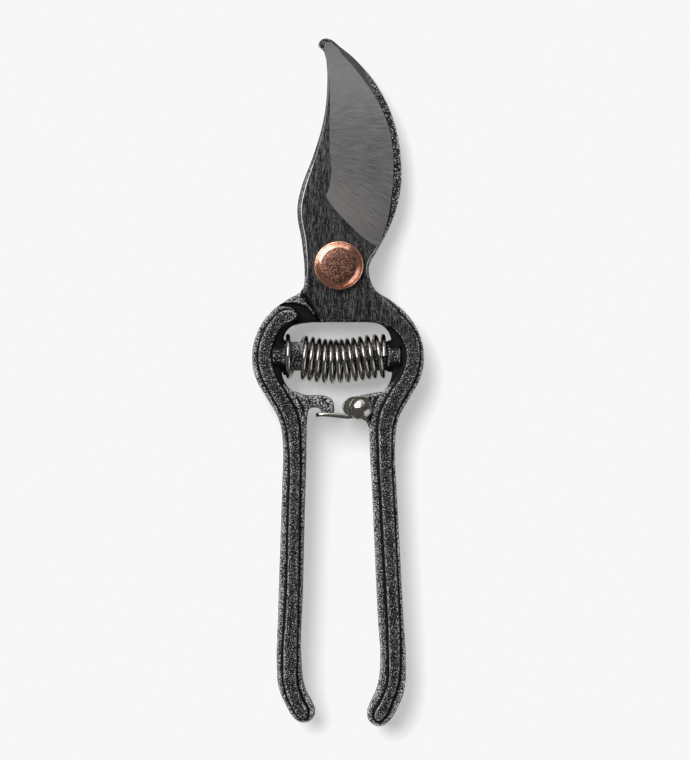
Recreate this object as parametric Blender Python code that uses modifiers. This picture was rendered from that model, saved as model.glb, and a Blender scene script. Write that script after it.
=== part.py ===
"""Forged bypass pruning shears, closed and latched, lying on their back.

Two one-piece forgings (cutting blade with the right handle, hook blade with the left handle)
cross at a copper-plated pivot bolt. A coil spring pushes the handles apart and a riveted
catch holds them shut. Lengths are in metres. +Y runs from the pivot to the blade tip, +Z is
the front, and the origin is the middle of the bolt's end face, which the shears rest on.
"""

import math

import bmesh
import bpy
from mathutils import Vector

MM = 0.001

# Pivot stack, from the back to the front
BOLT_SHANK_RADIUS = 4.0 * MM
BOLT_HEAD_RADIUS = 7.3 * MM
BOLT_FACE_RADIUS = 5.35 * MM
BOLT_HEAD_HEIGHT = 3.0 * MM
BOLT_END_PROUD = 0.3 * MM
BOLT_RIM_HEIGHT = 1.2 * MM
BOLT_RIM_WIDTH = 0.8 * MM
BOLT_RIM_FILLET = 0.2 * MM
BOLT_EDGE = 0.3 * MM
NUT_EDGE = 0.35 * MM
NUT_ACROSS_FLATS = 13.0 * MM
NUT_HEIGHT = 2.6 * MM
WASHER_RADIUS = 7.6 * MM
WASHER_THICKNESS = 0.8 * MM
PLATE_THICKNESS = 4.8 * MM
SEAT_GAP = 0.2 * MM
SHANK_CLEARANCE = 0.1 * MM

# Handles
HANDLE_THICKNESS = 9.8 * MM
FLANGE_THICKNESS = 6.4 * MM
RIB_ROUNDING = 0.7 * MM
FLANGE_ROUNDING = 1.3 * MM
PLATE_CHAMFER = 1.2 * MM
SPINE_CHAMFER = 2.1 * MM
SPINE_CHAMFER_AT_TIP = 0.6 * MM
SPINE_FULL_FROM_Y = 8.0 * MM
SPINE_NARROWS_FROM_Y = 24.0 * MM
SPINE_NARROWEST_Y = 60.0 * MM
TAPER_START_Y = 30.0 * MM
TIP_THICKNESS = 2.2 * MM
CUTTING_EDGE_THICKNESS = 0.4 * MM

# Catch
LUG_THICKNESS = 5.6 * MM
LUG_ROUNDING = 0.6 * MM
RIVET_X = 6.6 * MM
RIVET_Y = -42.7 * MM
RIVET_SHANK_RADIUS = 1.5 * MM
DOME_RADIUS = 3.6 * MM
DOME_HEIGHT = 2.4 * MM
DOME_SIDE = 0.4 * MM
RIVET_TAIL_RADIUS = 2.6 * MM
RIVET_TAIL_HEIGHT = 1.0 * MM
RIVET_TAIL_TAPER = 0.2 * MM
CATCH_THICKNESS = 1.0 * MM
CATCH_HUB_RADIUS = 3.2 * MM
CATCH_HEEL_X = -1.9 * MM
CATCH_HEEL_Y = 0.4 * MM
CATCH_ARM_WIDTH = 1.3 * MM
LIP_DROP = 4.0 * MM
WAVE_WASHER_THICKNESS = 0.5 * MM
WAVE_WASHER_RADIUS = 2.9 * MM

# Spring and the bosses that it sits on
SPRING_RADIUS = 6.1 * MM
WIRE_RADIUS = 0.72 * MM
SPRING_LEFT_X = -16.3 * MM
SPRING_MIDDLE_X = -0.9 * MM
SPRING_Y = -27.0 * MM
SPRING_BOW = 1.6 * MM
SPRING_FIRST_HALF_TURNS = [0.9 * MM, 0.65 * MM, 4.0 * MM]
SPRING_HALF_TURN = 1.0 * MM
SPRING_OPEN_HALF_TURNS = 22
SPRING_LAST_HALF_TURNS = [1.95 * MM, 0.15 * MM, 0.5 * MM]
SPRING_START = 0.2
SPRING_END_SHORT = 0.5
BOSS_CLEARANCE = 1.0 * MM
BOSS_FLARE_RADIUS = 4.7 * MM
BOSS_NOSE_RADIUS = 2.6 * MM
BOSS_NOSE_GAP = 3.0 * MM
BOSS_ROOT_DEPTH = 2.5 * MM
BOSS_FLARE_LENGTH = 1.6 * MM
BOSS_FLARE_STEP = 0.5 * MM
BOSS_NOSE_STEP = 0.6 * MM
BOSS_NOSE_LENGTH = 0.5 * MM

ROUND_STEPS = 48
SAME_HEIGHT = 0.05 * MM

# Heights, each worked out from the stack above
NUT_LOW = BOLT_END_PROUD
WASHER_LOW = NUT_LOW + NUT_HEIGHT + SEAT_GAP
HOOK_LOW = WASHER_LOW + WASHER_THICKNESS + SEAT_GAP
HOOK_HIGH = HOOK_LOW + PLATE_THICKNESS
BLADE_LOW = HOOK_HIGH + SEAT_GAP
BLADE_HIGH = BLADE_LOW + PLATE_THICKNESS
HEAD_LOW = BLADE_HIGH + SEAT_GAP
MIDDLE = HOOK_HIGH + SEAT_GAP / 2
LUG_LOW = MIDDLE - LUG_THICKNESS / 2
LUG_HIGH = MIDDLE + LUG_THICKNESS / 2
CATCH_LOW = LUG_HIGH + SEAT_GAP
CATCH_HIGH = CATCH_LOW + CATCH_THICKNESS

# Top and bottom of the spring, which the corners of the handles' loop follow, in millimetres
SPRING_TOP_Y = (SPRING_Y + SPRING_RADIUS) / MM
SPRING_BOTTOM_Y = (SPRING_Y - SPRING_RADIUS) / MM

# Outlines seen from the front, in millimetres from the pivot axis. A third value marks a corner.
CORNER = "corner"
LOOP_TOP_Y = -16.8
LOOP_LEFT_X = -17.1
LOOP_RIGHT_X = 15.9
CUTTING_EDGE = [
    (-3.4, 67.3), (1.6, 62.8), (6.2, 57.5), (10.6, 51.2), (14.1, 44.2), (16.0, 36.5),
    (16.4, 28.5), (15.7, 20.3), (14.4, 13.0), (12.9, 8.4), (11.6, 4.8),
]
GRIND_LINE = [
    (-4.4, 65.6), (-3.8, 62.3), (-3.1, 57.5), (-2.6, 50.5), (-2.8, 42.5), (-2.6, 35.5),
    (-2.2, 29.0), (-2.7, 23.4), (-3.4, 19.8), (4.2, 11.2), (10.8, 5.4),
]
BLADE_SPINE = [
    (-10.7, -8.2, CORNER), (-10.2, -3.0), (-11.0, 7.0), (-12.4, 16.3), (-11.4, 22.6),
    (-7.6, 33.0), (-4.6, 43.5), (-3.5, 53.0), (-3.7, 61.5), (-4.4, 65.4),
]
BLADE_PLATE = [
    *[(x, y) for x, y in CUTTING_EDGE], (9.2, 0.6), (9.1, -2.6), (10.4, -6.4), (13.2, -9.2),
    (17.5, -13.2, CORNER), (16.5, -19.0, CORNER), (12.0, -17.3), (8.0, LOOP_TOP_Y, CORNER),
    (-5.2, LOOP_TOP_Y, CORNER), *BLADE_SPINE,
]
HOOK_PLATE = [
    (8.9, -2.6), (9.3, 0.8), (11.6, 4.9), (15.6, 12.6), (18.3, 21.5), (18.7, 31.0), (17.0, 42.0),
    (12.3, 53.0), (6.4, 60.6), (0.4, 65.9), (-3.4, 68.4), (-5.7, 67.7), (-6.3, 66.2, CORNER),
    (-4.1, 64.2, CORNER), (1.6, 58.6), (7.4, 51.0), (11.4, 41.5), (12.6, 31.0), (10.8, 20.5),
    (6.0, 13.4), (-2.0, 10.6), (-8.2, 6.6), (-9.8, 0.0), (-9.9, -4.4), (-13.0, -9.4),
    (-17.5, -13.2, CORNER), (-16.8, -19.4, CORNER), (-13.0, -17.6), (-8.0, LOOP_TOP_Y, CORNER),
    (5.2, LOOP_TOP_Y, CORNER), (9.7, -8.2, CORNER),
]
RIGHT_FLANGE = [
    (10.0, -8.0, CORNER), (12.4, -8.5), (16.8, -11.2), (21.2, -15.3), (24.3, -20.8),
    (25.5, -27.0), (24.4, -33.6), (20.9, -40.0), (17.8, -46.0), (16.9, -52.5), (17.4, -68.0),
    (18.4, -87.0), (19.3, -104.0), (20.1, -119.5), (19.6, -127.0), (17.2, -133.0),
    (14.8, -136.5), (12.2, -137.8), (9.6, -136.8), (8.4, -134.4), (9.2, -131.4), (11.2, -127.0),
    (12.3, -121.0), (11.6, -104.0), (10.8, -87.0), (10.0, -68.0), (9.3, -54.0), (9.5, -46.0),
    (11.6, -39.6), (15.0, SPRING_BOTTOM_Y - 2.3), (16.1, -31.2), (15.9, -22.8),
    (14.4, SPRING_TOP_Y + 1.9), (11.4, -17.1),
    (8.0, LOOP_TOP_Y, CORNER), (5.6, LOOP_TOP_Y, CORNER),
]
LEFT_FLANGE = [
    (-5.6, LOOP_TOP_Y, CORNER), (-9.0, LOOP_TOP_Y, CORNER), (-13.0, -17.5), (-15.8, SPRING_TOP_Y + 1.2),
    (-16.8, -23.2), (-17.2, -31.4), (-16.0, SPRING_BOTTOM_Y - 2.1), (-12.2, -39.6), (-9.9, -46.0),
    (-9.7, -54.0), (-10.2, -74.0), (-10.7, -96.0), (-11.1, -120.0), (-9.9, -127.0),
    (-7.9, -130.8), (-7.1, -133.6), (-8.4, -136.0), (-10.8, -136.7), (-13.2, -135.6),
    (-15.8, -131.6), (-18.0, -126.2), (-18.6, -120.0), (-18.2, -104.0), (-17.6, -85.0),
    (-17.0, -66.0), (-16.8, -53.0), (-17.9, -46.2), (-21.4, -39.8), (-24.9, -33.6),
    (-26.0, -27.0), (-24.6, -20.2), (-20.8, -14.2), (-15.8, -10.3), (-11.4, -7.9, CORNER),
]
RIGHT_RIB = [
    (14.2, -12.0, CORNER), (17.4, -13.8), (21.4, -18.0), (23.9, -23.0), (24.0, -28.6),
    (22.4, -34.4), (18.7, -40.8), (16.3, -46.8), (15.7, -53.5), (16.4, -72.0), (17.4, -94.0),
    (18.2, -117.0), (17.6, -124.8), (15.6, -130.6), (13.4, -135.0), (11.6, -136.0),
    (10.7, -134.4), (12.7, -130.2), (14.7, -125.2), (15.0, -117.0), (14.1, -94.0),
    (12.9, -72.0), (12.0, -54.0), (12.2, -45.4), (15.4, -38.2), (19.0, -32.4), (20.3, -27.2),
    (19.2, -22.4), (16.2, -18.6), (13.0, -16.0, CORNER),
]
LEFT_RIB = [
    (-13.0, -13.8), (-16.4, -13.4), (-20.0, -16.3), (-22.6, -20.6), (-24.0, -26.4),
    (-23.2, -32.4), (-19.9, -38.8), (-16.3, -45.6), (-14.9, -53.0), (-15.0, -76.0),
    (-15.6, -100.0), (-16.6, -119.5), (-16.1, -126.0), (-13.9, -131.8), (-11.6, -135.0),
    (-10.0, -135.2), (-9.3, -133.6), (-11.2, -129.2), (-12.5, -124.6), (-12.6, -117.0),
    (-12.2, -100.0), (-11.9, -76.0), (-11.7, -54.0), (-12.4, -45.2), (-15.6, -38.6),
    (-18.9, -32.8), (-20.1, -26.2), (-19.0, -21.6), (-16.6, -18.0), (-13.6, -16.4),
    (-12.4, -15.2),
]
RIGHT_LUG = [
    (12.6, -37.6, CORNER), (5.4, -39.0), (2.2, -40.0), (1.0, -42.3), (2.2, -44.6), (5.2, -45.8),
    (8.0, -46.4), (9.4, -48.8), (11.6, -48.8, CORNER), (14.4, -40.0, CORNER),
]
LEFT_LUG = [
    (-13.4, -37.4, CORNER), (-10.4, -38.5), (-4.4, -38.8), (-2.2, -39.8), (-1.4, -42.0),
    (-1.7, -44.2), (-3.4, -45.2), (-5.0, -44.2), (-5.7, -42.9), (-7.2, -42.4), (-8.8, -42.9),
    (-9.4, -45.0), (-9.9, -47.6), (-11.8, -47.6, CORNER), (-14.8, -39.8, CORNER),
]
CATCH_ARM = [(5.4, -45.3), (2.0, -45.0), (-1.6, -44.6), (-5.0, -44.5)]
LIP_LOW_LEFT = (-7.0, -45.3)
LIP_HIGH_RIGHT = (-5.95, -43.9)


def clear_scene():
    """Removes what the scene starts with."""
    for obj in list(bpy.data.objects):
        bpy.data.objects.remove(obj, do_unlink=True)


def new_collection(name):
    """Adds a collection to the scene."""
    collection = bpy.data.collections.new(name)
    bpy.context.scene.collection.children.link(collection)
    return collection


def material(name, colour, roughness, metallic):
    """A Principled material with one colour and finish."""
    made = bpy.data.materials.new(name)
    made.use_nodes = True
    shader = made.node_tree.nodes["Principled BSDF"]
    shader.inputs["Base Color"].default_value = (*colour, 1.0)
    shader.inputs["Roughness"].default_value = roughness
    shader.inputs["Metallic"].default_value = metallic
    return made


def painted_steel():
    return material("black_wrinkle_paint", (0.012, 0.012, 0.014), 0.45, 0.0)


def ground_steel():
    return material("ground_steel", (0.16, 0.155, 0.155), 0.38, 1.0)


def copper_plate():
    return material("copper_plate", (0.78, 0.36, 0.22), 0.25, 1.0)


def zinc_plate():
    return material("zinc_plate", (0.45, 0.44, 0.42), 0.3, 1.0)


def spring_steel():
    return material("spring_steel", (0.35, 0.33, 0.3), 0.2, 1.0)


def nickel_plate():
    return material("nickel_plate", (0.62, 0.59, 0.53), 0.15, 1.0)


def finish_mesh(obj, collection, finish):
    """Turns a curve object into a closed mesh object of the same name and place."""
    graph = bpy.context.evaluated_depsgraph_get()
    mesh = bpy.data.meshes.new_from_object(obj.evaluated_get(graph))
    name = obj.name
    place = obj.matrix_world.copy()
    bpy.data.objects.remove(obj, do_unlink=True)
    edit = bmesh.new()
    edit.from_mesh(mesh)
    bmesh.ops.remove_doubles(edit, verts=edit.verts, dist=0.001 * MM)
    bmesh.ops.recalc_face_normals(edit, faces=edit.faces)
    edit.to_mesh(mesh)
    edit.free()
    made = bpy.data.objects.new(name, mesh)
    mesh.name = name
    mesh.materials.clear()
    mesh.materials.append(finish)
    made.matrix_world = place
    collection.objects.link(made)
    return made


def outline(name, collection, finish, points, low, high, resolution=5):
    """A solid between two heights whose plan is a smooth closed line through the points."""
    curve = bpy.data.curves.new(name, "CURVE")
    curve.dimensions = "2D"
    curve.fill_mode = "BOTH"
    curve.extrude = (high - low) / 2
    curve.resolution_u = resolution
    spline = curve.splines.new("BEZIER")
    spline.use_cyclic_u = True
    spline.bezier_points.add(len(points) - 1)
    for knot, point in zip(spline.bezier_points, points):
        kind = "VECTOR" if len(point) == 3 else "AUTO"
        knot.co = (point[0] * MM, point[1] * MM, 0.0)
        knot.handle_left_type = kind
        knot.handle_right_type = kind
    obj = bpy.data.objects.new(name, curve)
    obj.location.z = (low + high) / 2
    collection.objects.link(obj)
    bpy.context.view_layer.update()
    made = finish_mesh(obj, collection, finish)
    join_flat_faces(made)
    return made


def join_flat_faces(obj):
    """Makes each flat cap of an outline one face, which a bevel needs."""
    edit = bmesh.new()
    edit.from_mesh(obj.data)
    bmesh.ops.dissolve_limit(
        edit, angle_limit=math.radians(0.5), verts=edit.verts, edges=edit.edges
    )
    edit.to_mesh(obj.data)
    edit.free()


def round_rim(obj, width, segments, top=True, bottom=True):
    """Bevels the edges between an outline's flat caps and its walls."""
    edit = bmesh.new()
    edit.from_mesh(obj.data)
    wanted = []
    for face in edit.faces:
        if abs(face.normal.z) < 0.9:
            continue
        if (face.normal.z > 0 and top) or (face.normal.z < 0 and bottom):
            wanted.extend(face.edges)
    bmesh.ops.bevel(
        edit, geom=list(set(wanted)), offset=width, segments=segments, profile=0.5,
        affect="EDGES", clamp_overlap=True,
    )
    edit.to_mesh(obj.data)
    edit.free()


def spine_chamfer(y):
    """Width of the chamfer on the blade's back at a distance from the pivot."""
    rise = min(1.0, max(0.0, (y + SPINE_FULL_FROM_Y) / (2 * SPINE_FULL_FROM_Y)))
    full = PLATE_CHAMFER + (SPINE_CHAMFER - PLATE_CHAMFER) * rise
    fall = (y - SPINE_NARROWS_FROM_Y) / (SPINE_NARROWEST_Y - SPINE_NARROWS_FROM_Y)
    left = 1.0 - min(1.0, max(0.0, fall))
    return SPINE_CHAMFER_AT_TIP + (full - SPINE_CHAMFER_AT_TIP) * left**2


def widen_spine_chamfer(obj):
    """Moves the inner edge of the plate's chamfer along the spine, where it is wide."""
    tip_y = BLADE_SPINE[-1][1] * MM
    start_y = BLADE_SPINE[0][1] * MM
    edit = bmesh.new()
    edit.from_mesh(obj.data)
    top = max(vert.co.z for vert in edit.verts)
    for edge in edit.edges:
        low, high = sorted(edge.verts, key=lambda vert: vert.co.z)
        on_chamfer = high.co.z > top - SAME_HEIGHT > low.co.z > top - 2 * PLATE_CHAMFER
        on_spine = low.co.x < 0.0 and start_y < low.co.y < tip_y
        if on_chamfer and on_spine:
            share = spine_chamfer(low.co.y) / PLATE_CHAMFER
            high.co.xy = low.co.xy + (high.co.xy - low.co.xy) * share
    edit.to_mesh(obj.data)
    edit.free()


def plate_share(y):
    """How much of the full plate thickness is left at a distance from the pivot."""
    tip_y = CUTTING_EDGE[0][1] * MM
    along = max(0.0, (y - TAPER_START_Y) / (tip_y - TAPER_START_Y))
    return 1.0 - along * (1.0 - TIP_THICKNESS / PLATE_THICKNESS)


def taper(obj, fixed_z):
    """Thins a plate towards the tip, keeping its face at fixed_z where it is."""
    edit = bmesh.new()
    edit.from_mesh(obj.data)
    whole = [*edit.verts, *edit.edges, *edit.faces]
    bmesh.ops.bisect_plane(
        edit, geom=whole, plane_co=(0.0, TAPER_START_Y, 0.0), plane_no=(0.0, 1.0, 0.0)
    )
    fixed = fixed_z - obj.location.z
    for vert in edit.verts:
        vert.co.z = fixed + (vert.co.z - fixed) * plate_share(vert.co.y)
    edit.to_mesh(obj.data)
    edit.free()


def as_helper(obj):
    """Keeps a cutter or a joined shape out of the model itself."""
    obj.hide_render = True
    obj.display_type = "WIRE"
    return obj


def boolean(obj, other, operation):
    """Joins to obj, or cuts from it, another object's solid."""
    modifier = obj.modifiers.new(operation.lower(), "BOOLEAN")
    modifier.operation = operation
    modifier.object = other
    modifier.solver = "EXACT"


def turned(name, collection, finish, profile, steps=ROUND_STEPS):
    """A solid of revolution about Z. The profile is (radius, z), down the outer side."""
    mesh = bpy.data.meshes.new(name)
    points = [(radius, 0.0, z) for radius, z in profile]
    edges = [(i, i + 1) for i in range(len(points) - 1)]
    mesh.from_pydata(points, edges, [])
    obj = bpy.data.objects.new(name, mesh)
    mesh.materials.append(finish)
    collection.objects.link(obj)
    screw = obj.modifiers.new("turn", "SCREW")
    screw.axis = "Z"
    screw.steps = steps
    screw.render_steps = steps
    screw.use_merge_vertices = True
    screw.merge_threshold = 0.00001
    screw.use_smooth_shade = True
    return obj


def closed_profile(profile):
    """The profile of a ring, which ends where it starts."""
    return [*profile, profile[0]]


def bore(name, helpers, radius, low, high, x=0.0, y=0.0):
    """A round cutter that runs from low to high."""
    finish = bpy.data.materials["zinc_plate"]
    cutter = turned(name, helpers, finish, [(0.0, high), (radius, high), (radius, low), (0.0, low)])
    cutter.location = (x, y, 0.0)
    return as_helper(cutter)


def smooth_line(points, steps):
    """Points along a Catmull-Rom line through the given points."""
    ends = [points[0], *points, points[-1]]
    line = []
    for i in range(1, len(ends) - 2):
        p0, p1, p2, p3 = (Vector(p) for p in ends[i - 1 : i + 3])
        for step in range(steps):
            t = step / steps
            line.append(
                0.5 * ((2 * p1) + (p2 - p0) * t + (2 * p0 - 5 * p1 + 4 * p2 - p3) * t**2
                       + (3 * p1 - p0 - 3 * p2 + p3) * t**3)
            )
    line.append(Vector(points[-1]))
    return line


def grind_cutter(helpers, finish):
    """What a grinding wheel takes off: everything above a slope from grind line to cutting edge."""
    past_line, past_edge, above = 1.0 * MM, 2.5 * MM, 9.0 * MM
    edge_height = BLADE_LOW + CUTTING_EDGE_THICKNESS
    lines = zip(smooth_line(GRIND_LINE, 3), smooth_line(CUTTING_EDGE, 3))
    edit = bmesh.new()
    sections = []
    for inner, outer in lines:
        start_height = BLADE_LOW + PLATE_THICKNESS * plate_share(inner.y * MM)
        start = Vector((inner.x * MM, inner.y * MM, start_height))
        end = Vector((outer.x * MM, outer.y * MM, edge_height))
        along = (end - start) / (end - start).xy.length
        low_in = start - along * past_line
        low_out = end + along * past_edge
        top = BLADE_HIGH + above
        corners = [low_in, low_out, (low_out.x, low_out.y, top), (low_in.x, low_in.y, top)]
        sections.append([edit.verts.new(corner) for corner in corners])
    for first, second in zip(sections, sections[1:]):
        for i in range(4):
            j = (i + 1) % 4
            edit.faces.new((first[i], first[j], second[j], second[i]))
    edit.faces.new(sections[0])
    edit.faces.new(sections[-1])
    bmesh.ops.recalc_face_normals(edit, faces=edit.faces)
    mesh = bpy.data.meshes.new("grind_cutter")
    edit.to_mesh(mesh)
    edit.free()
    mesh.materials.append(finish)
    obj = bpy.data.objects.new("grind_cutter", mesh)
    helpers.objects.link(obj)
    return as_helper(obj)


def boss(name, helpers, finish, wall_x, nose_x):
    """The stub that an end of the spring sits on, turned about the spring's axis."""
    boss_radius = SPRING_RADIUS - WIRE_RADIUS - BOSS_CLEARANCE
    side = 1.0 if wall_x > nose_x else -1.0
    reach = abs(wall_x - nose_x)
    profile = [
        (0.0, reach + BOSS_ROOT_DEPTH),
        (BOSS_FLARE_RADIUS, reach + BOSS_ROOT_DEPTH),
        (BOSS_FLARE_RADIUS, reach),
        (boss_radius + BOSS_FLARE_STEP, reach - BOSS_FLARE_LENGTH / 2),
        (boss_radius, reach - BOSS_FLARE_LENGTH),
        (boss_radius, reach / 2),
        (BOSS_NOSE_RADIUS + BOSS_NOSE_STEP, BOSS_NOSE_LENGTH),
        (BOSS_NOSE_RADIUS, 0.0),
        (0.0, 0.0),
    ]
    stub = turned(name, helpers, finish, profile, 24)
    stub.rotation_euler = (0.0, side * math.pi / 2, 0.0)
    stub.location = (nose_x, SPRING_Y, MIDDLE)
    return as_helper(stub)


def blade_half(collection, helpers, paint, steel):
    """Cutting blade, neck, right handle, right boss and right lug, forged as one."""
    plate = outline("blade_half", collection, paint, BLADE_PLATE, BLADE_LOW, BLADE_HIGH)
    round_rim(plate, PLATE_CHAMFER, 1, bottom=False)
    widen_spine_chamfer(plate)
    taper(plate, BLADE_LOW)
    boolean(plate, grind_cutter(helpers, steel), "DIFFERENCE")
    half = HANDLE_THICKNESS / 2
    flange_half = FLANGE_THICKNESS / 2
    flange = outline("right_flange", helpers, paint, RIGHT_FLANGE, MIDDLE - flange_half,
                     MIDDLE + flange_half)
    round_rim(flange, FLANGE_ROUNDING, 2)
    boolean(plate, as_helper(flange), "UNION")
    rib = outline("right_rib", helpers, paint, RIGHT_RIB, MIDDLE - half, MIDDLE + half)
    round_rim(rib, RIB_ROUNDING, 2)
    boolean(plate, as_helper(rib), "UNION")
    stub = boss("right_boss", helpers, paint, LOOP_RIGHT_X * MM,
                SPRING_MIDDLE_X + BOSS_NOSE_GAP / 2)
    boolean(plate, stub, "UNION")
    lug = outline("right_lug", helpers, paint, RIGHT_LUG, LUG_LOW, LUG_HIGH)
    round_rim(lug, LUG_ROUNDING, 1)
    boolean(plate, as_helper(lug), "UNION")
    hole = bore("blade_bore", helpers, BOLT_SHANK_RADIUS + SHANK_CLEARANCE, 0.0,
                HEAD_LOW + BOLT_HEAD_HEIGHT)
    boolean(plate, hole, "DIFFERENCE")
    rivet_hole = bore("rivet_bore", helpers, RIVET_SHANK_RADIUS + SHANK_CLEARANCE, 0.0,
                      BLADE_HIGH + BOLT_HEAD_HEIGHT, RIVET_X, RIVET_Y)
    boolean(plate, rivet_hole, "DIFFERENCE")
    return plate


def hook_half(collection, helpers, paint):
    """Hook blade, left handle, left boss and left lug, forged as one."""
    plate = outline("hook_half", collection, paint, HOOK_PLATE, HOOK_LOW, HOOK_HIGH)
    round_rim(plate, PLATE_CHAMFER, 1, top=False)
    taper(plate, HOOK_HIGH)
    half = HANDLE_THICKNESS / 2
    flange_half = FLANGE_THICKNESS / 2
    flange = outline("left_flange", helpers, paint, LEFT_FLANGE, MIDDLE - flange_half,
                     MIDDLE + flange_half)
    round_rim(flange, FLANGE_ROUNDING, 2)
    boolean(plate, as_helper(flange), "UNION")
    rib = outline("left_rib", helpers, paint, LEFT_RIB, MIDDLE - half, MIDDLE + half)
    round_rim(rib, RIB_ROUNDING, 2)
    boolean(plate, as_helper(rib), "UNION")
    stub = boss("left_boss", helpers, paint, LOOP_LEFT_X * MM,
                SPRING_MIDDLE_X - BOSS_NOSE_GAP / 2)
    boolean(plate, stub, "UNION")
    lug = outline("left_lug", helpers, paint, LEFT_LUG, LUG_LOW, LUG_HIGH)
    round_rim(lug, LUG_ROUNDING, 1)
    boolean(plate, as_helper(lug), "UNION")
    hole = bore("hook_bore", helpers, BOLT_SHANK_RADIUS + SHANK_CLEARANCE, 0.0, HEAD_LOW)
    boolean(plate, hole, "DIFFERENCE")
    return plate


def pivot_bolt(collection, finish):
    """Round-headed bolt with a raised face inside a rim, and a plain shank."""
    top = HEAD_LOW + BOLT_HEAD_HEIGHT
    rim = HEAD_LOW + BOLT_RIM_HEIGHT
    rim_inside = BOLT_HEAD_RADIUS - BOLT_RIM_WIDTH
    profile = [
        (0.0, top),
        (BOLT_FACE_RADIUS, top),
        (BOLT_FACE_RADIUS + BOLT_EDGE, top - BOLT_RIM_FILLET),
        (rim_inside - BOLT_RIM_FILLET / 2, rim + BOLT_RIM_FILLET),
        (rim_inside, rim),
        (BOLT_HEAD_RADIUS - BOLT_EDGE, rim),
        (BOLT_HEAD_RADIUS, rim - BOLT_EDGE),
        (BOLT_HEAD_RADIUS, HEAD_LOW),
        (BOLT_SHANK_RADIUS, HEAD_LOW),
        (BOLT_SHANK_RADIUS, BOLT_EDGE),
        (BOLT_SHANK_RADIUS - BOLT_EDGE, 0.0),
        (0.0, 0.0),
    ]
    return turned("pivot_bolt", collection, finish, profile)


def pivot_washer(collection, finish):
    """Flat washer between the hook blade and the nut."""
    hole = BOLT_SHANK_RADIUS + SHANK_CLEARANCE
    high = WASHER_LOW + WASHER_THICKNESS
    profile = [(hole, high), (WASHER_RADIUS, high), (WASHER_RADIUS, WASHER_LOW), (hole, WASHER_LOW)]
    return turned("pivot_washer", collection, finish, closed_profile(profile))


def pivot_nut(collection, helpers, finish):
    """Thin hexagon nut on the back."""
    mesh = bpy.data.meshes.new("pivot_nut")
    edit = bmesh.new()
    radius = NUT_ACROSS_FLATS / math.sqrt(3)
    bmesh.ops.create_cone(
        edit, cap_ends=True, segments=6, radius1=radius, radius2=radius, depth=NUT_HEIGHT
    )
    edit.to_mesh(mesh)
    edit.free()
    mesh.materials.append(finish)
    nut = bpy.data.objects.new("pivot_nut", mesh)
    nut.location = (0.0, 0.0, NUT_LOW + NUT_HEIGHT / 2)
    collection.objects.link(nut)
    bevel = nut.modifiers.new("edges", "BEVEL")
    bevel.width = NUT_EDGE
    bevel.segments = 1
    hole = bore("nut_bore", helpers, BOLT_SHANK_RADIUS + SHANK_CLEARANCE, -MM,
                WASHER_LOW + WASHER_THICKNESS)
    boolean(nut, hole, "DIFFERENCE")
    return nut


def spring_points():
    """Points of the wire, half a turn at a time, on an axis that bows towards the catch."""
    steps = 9
    pitches = [
        *SPRING_FIRST_HALF_TURNS, *[SPRING_HALF_TURN] * SPRING_OPEN_HALF_TURNS,
        *SPRING_LAST_HALF_TURNS,
    ]
    half_length = sum(pitches) / 2
    middle_x = SPRING_LEFT_X + half_length
    first = round(SPRING_START * steps)
    last = round((len(pitches) - SPRING_END_SHORT) * steps)
    points = []
    for step in range(first, last + 1):
        turn = min(step // steps, len(pitches) - 1)
        along = sum(pitches[:turn]) + pitches[turn] * (step / steps - turn) - half_length
        phase = math.pi * along / half_length
        lean = math.atan(SPRING_BOW * math.pi / (2 * half_length) * math.sin(phase))
        y = SPRING_Y - SPRING_BOW * (1 + math.cos(phase)) / 2
        angle = math.pi * (step / steps - 1)
        rise = SPRING_RADIUS * math.cos(angle)
        points.append((
            middle_x + along - rise * math.sin(lean),
            y + rise * math.cos(lean),
            MIDDLE + SPRING_RADIUS * math.sin(angle),
        ))
    return points


def return_spring(collection, finish):
    """Compression coil spring between the handles."""
    curve = bpy.data.curves.new("return_spring", "CURVE")
    curve.dimensions = "3D"
    curve.bevel_depth = WIRE_RADIUS
    curve.bevel_resolution = 2
    curve.use_fill_caps = True
    points = spring_points()
    spline = curve.splines.new("POLY")
    spline.points.add(len(points) - 1)
    for knot, point in zip(spline.points, points):
        knot.co = (*point, 1.0)
    obj = bpy.data.objects.new("return_spring", curve)
    collection.objects.link(obj)
    bpy.context.view_layer.update()
    return finish_mesh(obj, collection, finish)


def latch_rivet(collection, finish):
    """Domed rivet through the right lug, closed by a flat tail."""
    high = CATCH_HIGH + SEAT_GAP
    tail_high = LUG_LOW - SEAT_GAP - WAVE_WASHER_THICKNESS - SEAT_GAP
    dome = []
    for step in range(6):
        angle = math.pi / 2 * step / 5
        dome.append((DOME_RADIUS * math.sin(angle), high + DOME_SIDE + DOME_HEIGHT * math.cos(angle)))
    profile = [
        *dome,
        (DOME_RADIUS, high),
        (RIVET_SHANK_RADIUS, high),
        (RIVET_SHANK_RADIUS, tail_high),
        (RIVET_TAIL_RADIUS, tail_high),
        (RIVET_TAIL_RADIUS - RIVET_TAIL_TAPER, tail_high - RIVET_TAIL_HEIGHT),
        (0.0, tail_high - RIVET_TAIL_HEIGHT),
    ]
    rivet = turned("latch_rivet", collection, finish, profile, 36)
    rivet.location = (RIVET_X, RIVET_Y, 0.0)
    return rivet


def latch_washer(collection, finish):
    """Washer between the right lug and the rivet's tail."""
    hole = RIVET_SHANK_RADIUS + SHANK_CLEARANCE
    high = LUG_LOW - SEAT_GAP
    low = high - WAVE_WASHER_THICKNESS
    profile = [(hole, high), (WAVE_WASHER_RADIUS, high), (WAVE_WASHER_RADIUS, low), (hole, low)]
    washer = turned("latch_washer", collection, finish, closed_profile(profile), 36)
    washer.location = (RIVET_X, RIVET_Y, 0.0)
    return washer


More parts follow.
